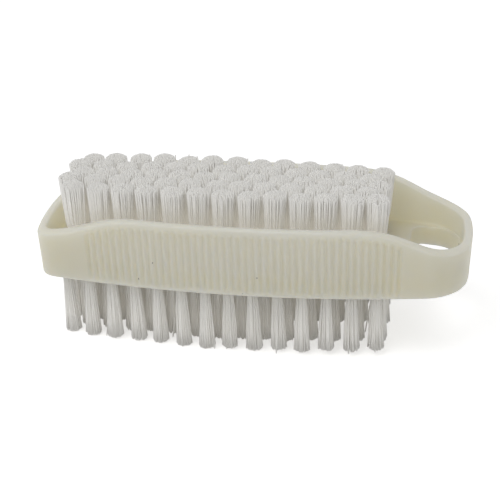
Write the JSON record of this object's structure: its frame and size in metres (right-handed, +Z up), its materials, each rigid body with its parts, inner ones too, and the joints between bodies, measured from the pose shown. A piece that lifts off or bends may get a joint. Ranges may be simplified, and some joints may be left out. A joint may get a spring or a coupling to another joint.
{
  "type": "nail brush",
  "caption": "Two-sided nail brush: a boat-shaped block with a curved rim, ribbed sides and a slotted end, and bristle tufts above and below.",
  "frame": {"origin": "on the plane that the lower bristle tips rest on, under the middle of the block", "axes": "+X along the brush towards its slotted end, +Z up from the lower bristles to the upper ones"},
  "size_m": [0.1217, 0.047, 0.0457],
  "materials": {
    "block": "satin",
    "bristles": "satin",
    "anchors": "satin"
  },
  "bodies": {
    "root": {"handle_block": "block", "top_tufts_row_1": "bristles", "top_tufts_row_2": "bristles", "top_tufts_row_3": "bristles", "top_tufts_row_4": "bristles", "top_tufts_row_5": "bristles", "bottom_tufts_row_1": "bristles", "bottom_tufts_row_2": "bristles", "bottom_tufts_row_3": "bristles", "bottom_tufts_row_4": "bristles", "bottom_tufts_row_5": "bristles", "bottom_tufts_row_6": "bristles", "bottom_tufts_row_7": "bristles", "top_anchors_row_1": "anchors", "top_anchors_row_2": "anchors", "top_anchors_row_3": "anchors", "top_anchors_row_4": "anchors", "top_anchors_row_5": "anchors", "bottom_anchors_row_1": "anchors", "bottom_anchors_row_2": "anchors", "bottom_anchors_row_3": "anchors", "bottom_anchors_row_4": "anchors", "bottom_anchors_row_5": "anchors", "bottom_anchors_row_6": "anchors", "bottom_anchors_row_7": "anchors"}
  },
  "joints": []
}
